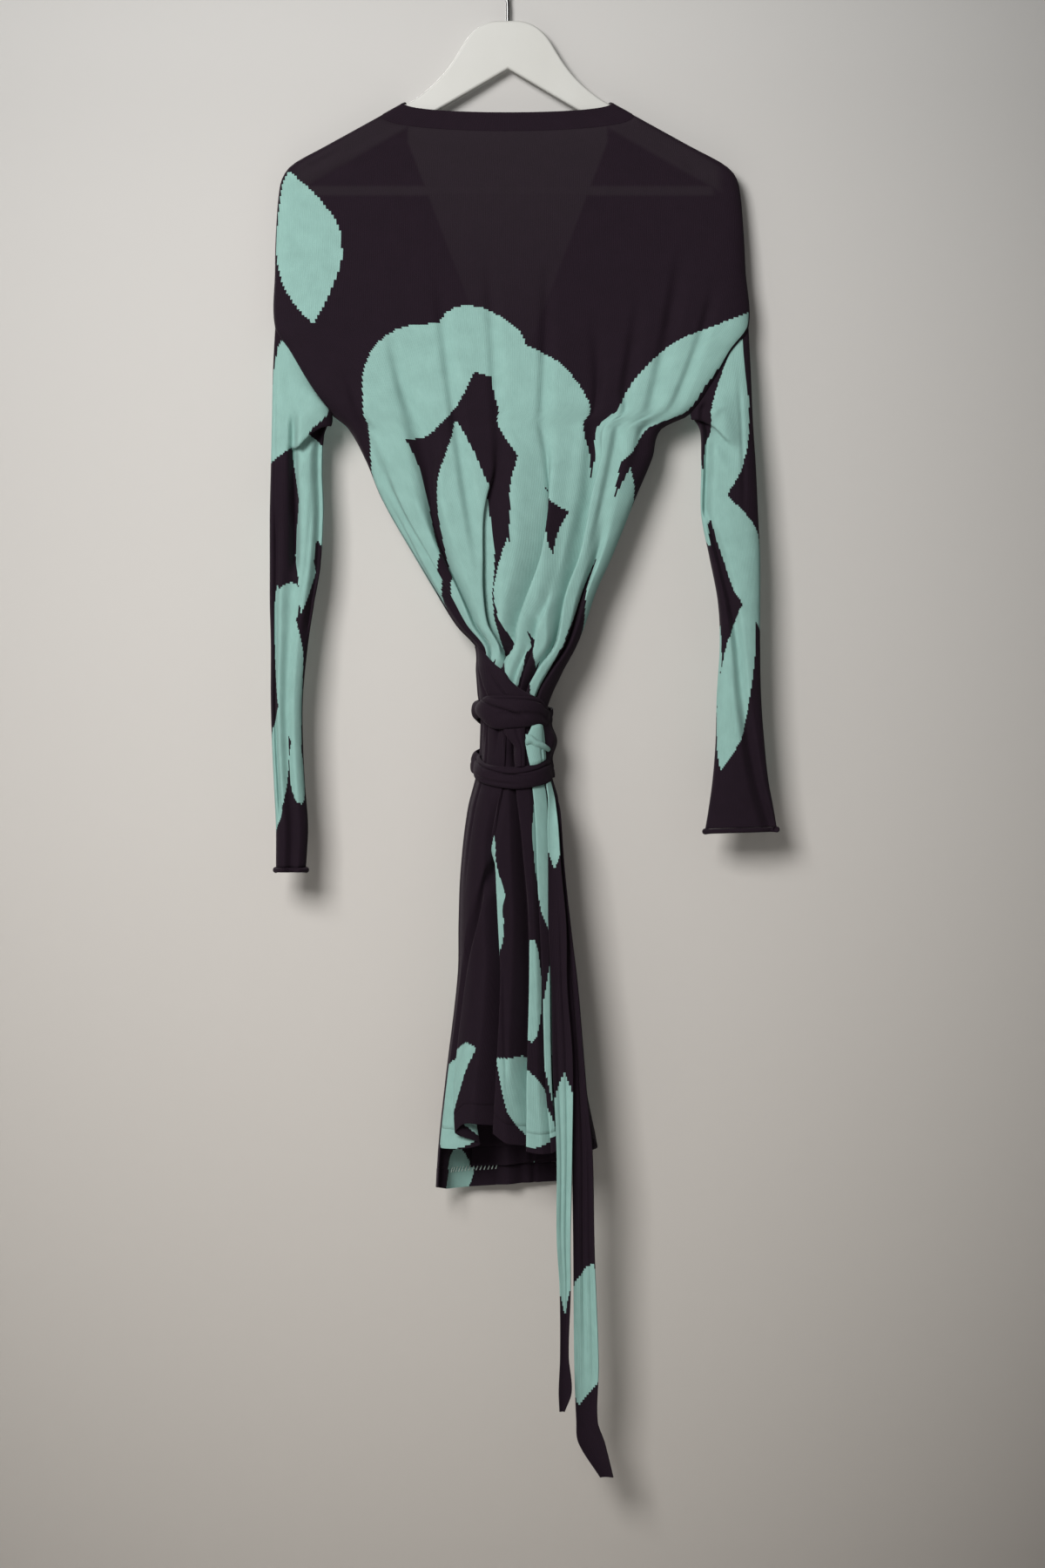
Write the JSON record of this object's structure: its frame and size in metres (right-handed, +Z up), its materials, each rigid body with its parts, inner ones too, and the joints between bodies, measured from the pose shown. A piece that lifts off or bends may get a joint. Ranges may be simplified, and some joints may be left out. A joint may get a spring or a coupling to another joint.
{
  "type": "wrap dress on hanger",
  "caption": "Long-sleeved fine-knit wrap dress hung on a flat hanger, gathered and wound with its own ties at the waist.",
  "frame": {"origin": "inside top of the hanger's hook, where a rail carries it", "axes": "+Z up, the dress's back faces -Y, its wrapped front faces +Y, +X to the viewer's right when the back is seen"},
  "size_m": [0.4898, 0.0848, 1.4818],
  "materials": {
    "aubergine_knit": "fine matte viscose knit, very dark aubergine",
    "mint_knit": "fine matte viscose knit, pale mint",
    "hanger_white": "satin white lacquer",
    "hook_wire": "polished steel wire"
  },
  "bodies": {
    "root": {"hanger_body": "hanger_white", "hanger_bar": "hanger_white", "hanger_hook": "hook_wire", "back": "aubergine_knit", "neckband_back": "aubergine_knit", "hem_back": "mint_knit", "front_over": "aubergine_knit", "band_over": "aubergine_knit", "hem_over": "aubergine_knit", "front_under": "aubergine_knit", "band_under": "aubergine_knit", "hem_under": "aubergine_knit", "sleeve_left": "mint_knit", "cuff_left": "aubergine_knit", "sleeve_right_back": "mint_knit", "sleeve_right_front": "mint_knit", "cuff_right": "aubergine_knit", "wrap_upper": "aubergine_knit", "wrap_lower": "aubergine_knit", "sash_diagonal": "aubergine_knit", "loop_right": "aubergine_knit", "strand_dark": "aubergine_knit", "strand_mint": "mint_knit", "knot_loop": "mint_knit", "tie_short": "aubergine_knit", "tie_long": "aubergine_knit"}
  },
  "joints": []
}
